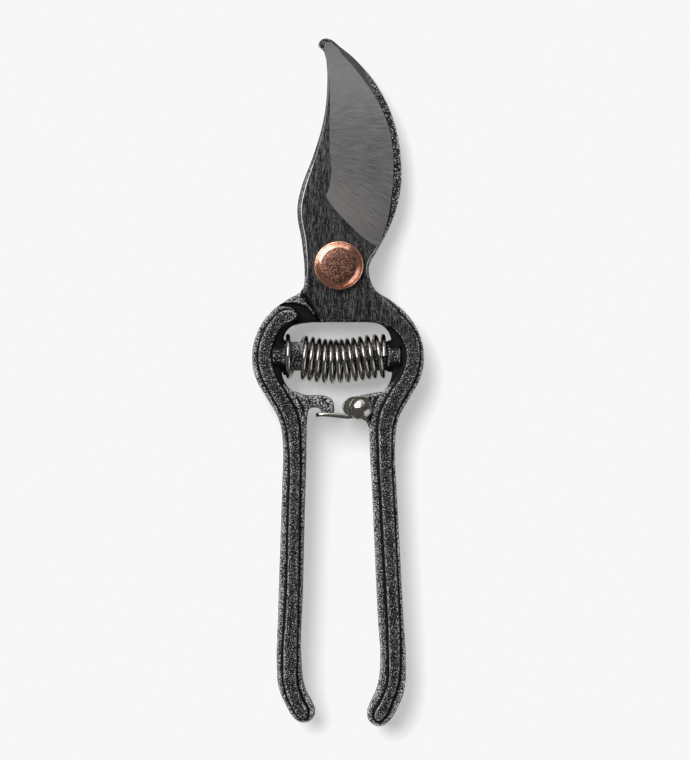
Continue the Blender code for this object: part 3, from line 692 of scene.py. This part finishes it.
class SHEARS_OT_cutting_blade(bpy.types.Operator):
    """Crisp cutting blade with its ground bevel, from the neck to the tip"""

    bl_idname = "shears.cutting_blade"
    bl_label = "Cutting blade"

    def execute(self, context):
        colours = context.scene.shears_colours
        edit = forging("blade_half")
        cut_across(edit, SEAM_Y, True)
        mesh = mesh_from(edit, "cutting_blade")
        for mask in ("edge", "shade"):
            set_mask(mesh, mask, np.zeros(len(mesh.vertices)))
        finishes = [
            neck_steel("brushed_neck_steel", colours),
            ground_steel("ground_blade_steel", colours),
            wrinkle_paint("blade_wrinkle_paint", colours),
            spine_steel("pitted_spine_steel", colours),
        ]
        blade = piece("cutting_blade", mesh, finishes, math.radians(20))
        for face in mesh.polygons:
            face.material_index = self.finish_of(face.center, face.normal)
        self.mark_arris(mesh)
        even_normals(mesh, (NECK, BEVEL))
        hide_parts("blade_half")
        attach(blade, "blade_side")
        return {"FINISHED"}

    def mark_arris(self, mesh):
        """Marks the chamfer's corners: 1 on its inner edge and 0 on its outer edge."""
        layer = mesh.attributes.new("arris", "FLOAT", "CORNER")
        for face in mesh.polygons:
            if face.material_index != SPINE:
                continue
            heights = [mesh.vertices[v].co.z for v in face.vertices]
            middle = (min(heights) + max(heights)) / 2
            for loop, height in zip(face.loop_indices, heights):
                layer.data[loop].value = 1.0 if height > middle else 0.0

    def finish_of(self, centre, normal):
        """The slot of a face: neck, ground bevel, painted side or pitted chamfer."""
        if normal.z < 0.35:
            return SIDE
        if centre.y > 4.5 * MM and normal.x > 0.02:
            return BEVEL
        return NECK if normal.z > 0.98 else SPINE


class SHEARS_OT_right_handle(bpy.types.Operator):
    """Right handle with the lower neck, spring boss and catch lug, softened like a forging"""

    bl_idname = "shears.right_handle"
    bl_label = "Right handle"

    def execute(self, context):
        scene = context.scene
        edit = forging("blade_half")
        cut_across(edit, SEAM_Y + SEAM_OVERLAP, False)
        soft = softened(mesh_from(edit, "handle"), scene.shears_sizes.grain, 4)
        edit = bmesh.new()
        edit.from_mesh(soft)
        cut_across(edit, SEAM_Y, False)
        mesh = mesh_from(edit, "right_handle")
        finish_forging(mesh, False)
        handle = piece("right_handle", mesh, [handle_paint("neck_and_handle_paint",
                                                           scene.shears_colours)])
        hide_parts("blade_half")
        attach(handle, "blade_side")
        return {"FINISHED"}


def ground_band(points):
    """How fully each point of the hook lies in the band ground smooth beside the blade's tip."""
    x, y, _ = points.T
    gap = np.full(len(points), 1e9)
    for (x0, y0), (x1, y1) in zip(CUTTING_EDGE, CUTTING_EDGE[1:]):
        along = np.array([x1 - x0, y1 - y0])
        off = points[:, :2] - (x0, y0)
        t = np.clip(off @ along / (along @ along), 0.0, 1.0)
        gap = np.minimum(gap, np.hypot(*(off - t[:, None] * along).T))
    width = 2.6 * smooth_step(y, 47.0, 62.0)
    return (1.0 - smooth_step(gap - width, -0.4, 0.3)) * smooth_step(x, -2.6, -1.6) * (y > 45.0)


class SHEARS_OT_hook_and_left_handle(bpy.types.Operator):
    """Hook blade and left handle, softened like a forging"""

    bl_idname = "shears.hook_and_left_handle"
    bl_label = "Hook and left handle"

    def execute(self, context):
        scene = context.scene
        soft = softened(mesh_from(forging("hook_half"), "hook"), scene.shears_sizes.grain, 4)
        finish_forging(soft, True)
        points, normals, _ = mesh_arrays(soft)
        set_mask(soft, "ground", ground_band(points / MM) * smooth_step(normals[:, 2], 0.3, 0.8))
        finish = hook_paint("hook_wrinkle_paint", scene.shears_colours)
        hook = piece("hook_and_left_handle", soft, [finish])
        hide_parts("hook_half")
        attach(hook, "hook_side")
        return {"FINISHED"}


class SHEARS_OT_pivot_bolt(bpy.types.Operator):
    """Copper bolt: rim, groove, bevelled boss with a textured face, and the threaded end"""

    bl_idname = "shears.pivot_bolt"
    bl_label = "Pivot bolt"

    def execute(self, context):
        sizes, colours = context.scene.shears_sizes, context.scene.shears_colours
        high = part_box("pivot_bolt")[1]
        top, rim = high.z, high.x
        face, groove = sizes.bolt_face, sizes.bolt_groove
        profile = [
            (0.0, top), (face * 0.5, top), (face - 0.1 * MM, top), (face, top - 0.03 * MM),
            (groove - 0.2 * MM, top - 0.4 * MM), (groove - 0.05 * MM, top - 0.75 * MM),
            (groove + 0.2 * MM, top - 0.85 * MM), (groove + 0.35 * MM, top - 0.72 * MM),
            (rim - 0.4 * MM, top - 0.7 * MM), (rim - 0.2 * MM, top - 0.78 * MM),
            (rim - 0.06 * MM, top - 0.95 * MM), (rim, top - 1.2 * MM),
            (rim, FACE_Z + 0.3 * MM), (rim - 0.1 * MM, FACE_Z + 0.2 * MM),
            (4.0 * MM, FACE_Z + 0.2 * MM), (4.0 * MM, 3.2 * MM),
        ]
        height = 3.0 * MM
        while height > 0.5 * MM:
            profile += [(3.7 * MM, height), (3.98 * MM, height - 0.3 * MM)]
            height -= 0.6 * MM
        profile += [(3.7 * MM, 0.0), (1.2 * MM, 0.0), (0.9 * MM, 0.25 * MM), (0.0, 0.35 * MM)]
        mesh = lathe("pivot_bolt", profile, 128)
        finishes = [copper_rim("polished_copper", colours), copper_face("textured_copper", colours)]
        bolt = piece("copper_pivot_bolt", mesh, finishes)
        for part in mesh.polygons:
            if part.center.z > top - 0.02 * MM:
                part.material_index = FACE
        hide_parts("pivot_bolt")
        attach(bolt, "blade_side")
        return {"FINISHED"}


class SHEARS_OT_nut_and_washer(bpy.types.Operator):
    """Chamfered hexagon nut and flat washer on the back"""

    bl_idname = "shears.nut_and_washer"
    bl_label = "Nut and washer"

    def execute(self, context):
        zinc = plated("satin_zinc", tuple(context.scene.shears_colours.zinc), 0.28, 0.02 * MM, 1.4)
        low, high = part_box("pivot_washer")
        profile = ring_profile(4.1 * MM, high.x, low.z, high.z, 0.15 * MM)
        washer = piece("pivot_washer_ring", welded(lathe("washer", profile, 96)), [zinc])
        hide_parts("pivot_washer")
        low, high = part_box("pivot_nut")
        corner = max(high.x, high.y)
        flat = corner * math.cos(math.pi / 6)
        nut = piece("hexagon_nut", self.nut_mesh(4.1 * MM, flat, corner, low.z, high.z), [zinc])
        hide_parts("pivot_nut")
        for made in (washer, nut):
            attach(made, "blade_side")
        return {"FINISHED"}

    def nut_mesh(self, hole, flat, corner, low, high):
        """A nut whose corners are turned down at both ends."""
        steps = 96
        edit = bmesh.new()
        drop = 0.35 * MM
        rings = []
        turned_down = flat * 1.0282
        levels = [
            (high, "hole"), (high, "turned"), (high - drop, "full"),
            (low + drop, "full"), (low, "turned"), (low, "hole"),
        ]
        for height, shape in levels:
            ring = []
            for step in range(steps):
                angle = 2 * math.pi * step / steps
                across = (angle + math.pi / 6) % (math.pi / 3) - math.pi / 6
                side = flat / math.cos(across)
                radius = {"hole": hole, "turned": min(side, turned_down), "full": side}[shape]
                point = (radius * math.sin(angle), radius * math.cos(angle), height)
                ring.append(edit.verts.new(point))
            rings.append(ring)
        for first, second in zip(rings, rings[1:] + rings[:1]):
            for i in range(steps):
                j = (i + 1) % steps
                edit.faces.new((first[i], second[i], second[j], first[j]))
        return mesh_from(edit, "nut")


class SHEARS_OT_return_spring(bpy.types.Operator):
    """Coil spring between the handles, with its axis bowed"""

    bl_idname = "shears.return_spring"
    bl_label = "Return spring"

    def execute(self, context):
        scene = context.scene
        wire = scene.shears_sizes.wire
        mesh = self.wire_mesh(self.centre_line(22), wire, 16)
        colour = tuple(scene.shears_colours.spring)
        finish = plated("bright_spring_wire", colour, 0.10, 0.01 * MM, 2.0)
        spring = piece("coil_spring", mesh, [finish], math.radians(60))
        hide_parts("return_spring")
        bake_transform(spring)
        return {"FINISHED"}

    def centre_line(self, steps):
        """Points of the wire, with an end coil at each side and an axis that bows from the pivot."""
        pitches = [pitch * MM for pitch in SPRING_HALF_TURNS]
        half = sum(pitches) / 2
        middle_x = SPRING_LEFT_X + half
        points = []
        last = round((len(pitches) - SPRING_END_SHORT) * steps)
        for step in range(round(SPRING_START * steps), last + 1):
            turn = min(step // steps, len(pitches) - 1)
            along = sum(pitches[:turn]) + pitches[turn] * (step / steps - turn) - half
            phase = math.pi * along / half
            lean = math.atan(SPRING_BOW * math.pi / (2 * half) * math.sin(phase))
            y = SPRING_Y - SPRING_BOW * (1 + math.cos(phase)) / 2
            angle = math.pi * (step / steps - 1)
            rise = SPRING_RADIUS * math.cos(angle)
            points.append(Vector((
                middle_x + along - rise * math.sin(lean),
                y + rise * math.cos(lean),
                MIDDLE_Z + SPRING_RADIUS * math.sin(angle),
            )))
        return points

    def wire_mesh(self, line, radius, sides):
        """A round wire swept along a line, with flat ends."""
        edit = bmesh.new()
        outward = (line[0] - Vector((line[0].x, SPRING_Y, MIDDLE_Z))).normalized()
        rings = []
        last = len(line) - 1
        for i, point in enumerate(line):
            ahead = (line[min(i + 1, last)] - line[max(i - 1, 0)]).normalized()
            outward = (outward - ahead * outward.dot(ahead)).normalized()
            sideways = ahead.cross(outward)
            ring = []
            for side in range(sides):
                angle = 2 * math.pi * side / sides
                offset = outward * math.cos(angle) + sideways * math.sin(angle)
                ring.append(edit.verts.new(point + offset * radius))
            rings.append(ring)
        for first, second in zip(rings, rings[1:]):
            for i in range(sides):
                j = (i + 1) % sides
                edit.faces.new((first[i], first[j], second[j], second[i]))
        edit.faces.new(rings[0])
        edit.faces.new(rings[-1])
        return mesh_from(edit, "coil_spring")


class SHEARS_OT_catch_rivet(bpy.types.Operator):
    """Domed rivet that the catch turns on, with its washer behind the lug"""

    bl_idname = "shears.catch_rivet"
    bl_label = "Catch rivet"

    def execute(self, context):
        sizes, colours = context.scene.shears_sizes, context.scene.shears_colours
        low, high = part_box("latch_rivet")
        centre = ((low.x + high.x) / 2, (low.y + high.y) / 2)
        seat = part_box("latch_catch")[1].z + 0.2 * MM
        rise = high.z - seat - 0.4 * MM
        profile = []
        for step in range(13):
            angle = math.pi / 2 * step / 12
            profile.append((sizes.dome * math.sin(angle), seat + 0.4 * MM + rise * math.cos(angle)))
        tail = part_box("latch_washer")[0].z - 0.2 * MM
        profile += [
            (sizes.dome, seat + 0.1 * MM), (sizes.dome - 0.1 * MM, seat), (1.5 * MM, seat),
            (1.5 * MM, tail), (2.5 * MM, tail), (2.6 * MM, tail - 0.15 * MM),
            (2.45 * MM, low.z + 0.15 * MM), (2.1 * MM, low.z), (0.8 * MM, low.z),
            (0.6 * MM, low.z + 0.2 * MM), (0.0, low.z + 0.25 * MM),
        ]
        finish = plated("bright_nickel", tuple(colours.nickel), 0.10, 0.12 * MM, 0.9)
        rivet = piece("catch_rivet", lathe("rivet", profile, 96, centre), [finish])
        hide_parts("latch_rivet")
        low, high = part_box("latch_washer")
        profile = ring_profile(1.6 * MM, (high.x - low.x) / 2, low.z, high.z, 0.1 * MM)
        washer = piece("catch_washer", welded(lathe("catch_washer", profile, 72, centre)), [finish])
        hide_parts("latch_washer")
        for made in (rivet, washer):
            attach(made, "blade_side")
        return {"FINISHED"}


class SHEARS_OT_catch(bpy.types.Operator):
    """Catch: hub plate, tapered arm and bent lip"""

    bl_idname = "shears.catch"
    bl_label = "Catch"

    def execute(self, context):
        scene = context.scene
        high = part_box("latch_catch")[1]
        rivet_low, rivet_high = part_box("latch_rivet")
        centre = ((rivet_low.x + rivet_high.x) / 2, (rivet_low.y + rivet_high.y) / 2)
        finish = plated("catch_nickel", tuple(scene.shears_colours.nickel), 0.13, 0.05 * MM, 1.2)
        plate = high.z - 1.0 * MM
        hub = piece("catch_hub_plate", self.hub_mesh(centre, plate, high.z), [finish])
        arm_mesh = self.arm_mesh(scene.shears_sizes.arm / 2)
        arm = piece("catch_arm", arm_mesh, [finish], math.radians(50))
        for made in (hub, arm):
            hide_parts("latch_catch")
            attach(made, "catch")
        return {"FINISHED"}

    def hub_mesh(self, centre, low, high):
        """A long round-ended plate with broken edges, pierced for the rivet."""
        steps, bevel, reach = 96, 0.22 * MM, 3.2 * MM
        heel = Vector((-1.9 * MM, 0.4 * MM))
        edit = bmesh.new()
        rings = []
        for radius, height in [(1.6 * MM, high), (reach - bevel, high), (reach, high - bevel),
                               (reach, low + bevel), (reach - bevel, low), (1.6 * MM, low)]:
            ring = []
            for step in range(steps):
                angle = 2 * math.pi * step / steps
                way = Vector((math.cos(angle), math.sin(angle)))
                point = way * radius
                if radius > 2 * MM and way.dot(heel) > 0:
                    point += heel
                ring.append(edit.verts.new((centre[0] + point.x, centre[1] + point.y, height)))
            rings.append(ring)
        for first, second in zip(rings, rings[1:] + rings[:1]):
            for i in range(steps):
                j = (i + 1) % steps
                edit.faces.new((first[i], second[i], second[j], first[j]))
        return mesh_from(edit, "catch_hub_plate")

    def arm_mesh(self, half):
        """A rounded strip that narrows to the left and bends down into the lip."""
        sides = 16
        edit = bmesh.new()
        rings = []
        last = len(ARM_ROUTE) - 1
        for i, (x, y, z, share) in enumerate(ARM_ROUTE):
            before, after = ARM_ROUTE[max(i - 1, 0)], ARM_ROUTE[min(i + 1, last)]
            ahead = Vector([after[k] - before[k] for k in range(3)]).normalized()
            wide = Vector((0.0, 1.0, 0.0)) - ahead * ahead.y
            wide.normalize()
            up = ahead.cross(wide)
            centre = Vector((x, y, z)) * MM
            ring = []
            for side in range(sides):
                angle = 2 * math.pi * side / sides
                c, s = math.cos(angle), math.sin(angle)
                across = math.copysign(abs(c) ** 0.6, c) * half * share
                rise = math.copysign(abs(s) ** 0.8, s) * ARM_HALF_THICKNESS
                ring.append(edit.verts.new(centre + wide * across + up * rise))
            rings.append(ring)
        for first, second in zip(rings, rings[1:]):
            for i in range(sides):
                j = (i + 1) % sides
                edit.faces.new((first[i], first[j], second[j], second[i]))
        edit.faces.new(rings[0])
        edit.faces.new(rings[-1])
        return mesh_from(edit, "catch_arm")


# ---------------------------------------------------------------- stage


def sun(name, direction, strength, spread_angle, colour=(1.0, 1.0, 1.0)):
    """A soft distant light that shines from the given direction."""
    data = bpy.data.lights.new(name, "SUN")
    data.energy = strength
    data.angle = math.radians(spread_angle)
    data.color = colour
    obj = bpy.data.objects.new(name, data)
    obj.rotation_euler = Vector(direction).to_track_quat("Z", "Y").to_euler()
    bpy.context.scene.collection.objects.link(obj)
    return obj


class SHEARS_OT_stage(bpy.types.Operator):
    """Plain pale floor, soft light and a camera looking straight down"""

    bl_idname = "shears.stage"
    bl_label = "Stage"

    def execute(self, context):
        scene = context.scene
        self.make_floor(scene)
        world = bpy.data.worlds.new("studio")
        world.use_nodes = True
        backdrop = world.node_tree.nodes["Background"]
        backdrop.inputs["Color"].default_value = (1.0, 1.0, 1.0, 1.0)
        backdrop.inputs["Strength"].default_value = 0.16
        scene.world = world
        sun("key_light", (-0.52, 0.50, 1.0), 2.5, 42.0)
        sun("top_light", (-0.05, 0.95, 0.8), 0.75, 50.0)
        sun("fill_light", (0.85, -0.55, 0.55), 0.65, 50.0)
        self.make_camera(scene)
        view = scene.view_settings
        view.view_transform = "Standard"
        view.use_curve_mapping = True
        curve = view.curve_mapping
        curve.extend = "HORIZONTAL"
        curve.curves[3].points[1].location = (1.0, 0.93)
        curve.update()
        return {"FINISHED"}

    def make_floor(self, scene):
        edit = bmesh.new()
        bmesh.ops.create_grid(edit, x_segments=8, y_segments=8, size=2.0)
        floor = piece("floor", mesh_from(edit, "floor"), [floor_finish("pale_floor",
                                                                      scene.shears_colours)])

    def make_camera(self, scene):
        data = bpy.data.cameras.new("camera")
        distance = 1.0
        field = 0.228
        data.sensor_width = 36.0
        data.lens = data.sensor_width * distance / field
        data.clip_start = 0.01
        camera = bpy.data.objects.new("camera", data)
        camera.location = (1.86 * MM, -34.14 * MM, MIDDLE_Z + distance)
        scene.collection.objects.link(camera)
        scene.camera = camera


class SHEARS_PT_panel(bpy.types.Panel):
    """Lists the pieces, sizes and colours"""

    bl_label = "Pruning shears"
    bl_idname = "SHEARS_PT_panel"
    bl_space_type = "VIEW_3D"
    bl_region_type = "UI"
    bl_category = "Shears"

    def draw(self, context):
        layout = self.layout
        for group in (context.scene.shears_sizes, context.scene.shears_colours):
            box = layout.box()
            for name in group.__annotations__:
                box.prop(group, name)
        for operator in OPERATORS:
            layout.operator(operator.bl_idname)


OPERATORS = [
    SHEARS_OT_cutting_blade, SHEARS_OT_right_handle, SHEARS_OT_hook_and_left_handle,
    SHEARS_OT_pivot_bolt, SHEARS_OT_nut_and_washer, SHEARS_OT_return_spring,
    SHEARS_OT_catch_rivet, SHEARS_OT_catch, SHEARS_OT_stage,
]
CLASSES = [ShearsSizes, ShearsColours, *OPERATORS, SHEARS_PT_panel]


def register():
    for item in CLASSES:
        bpy.utils.register_class(item)
    bpy.types.Scene.shears_sizes = PointerProperty(type=ShearsSizes)
    bpy.types.Scene.shears_colours = PointerProperty(type=ShearsColours)


def unregister():
    del bpy.types.Scene.shears_colours
    del bpy.types.Scene.shears_sizes
    for item in reversed(CLASSES):
        bpy.utils.unregister_class(item)


def main():
    register()
    bpy.ops.shears.cutting_blade()
    bpy.ops.shears.right_handle()
    bpy.ops.shears.hook_and_left_handle()
    bpy.ops.shears.pivot_bolt()
    bpy.ops.shears.nut_and_washer()
    bpy.ops.shears.return_spring()
    bpy.ops.shears.catch_rivet()
    bpy.ops.shears.catch()
    bpy.ops.shears.stage()


if __name__ == "__main__":
    main()
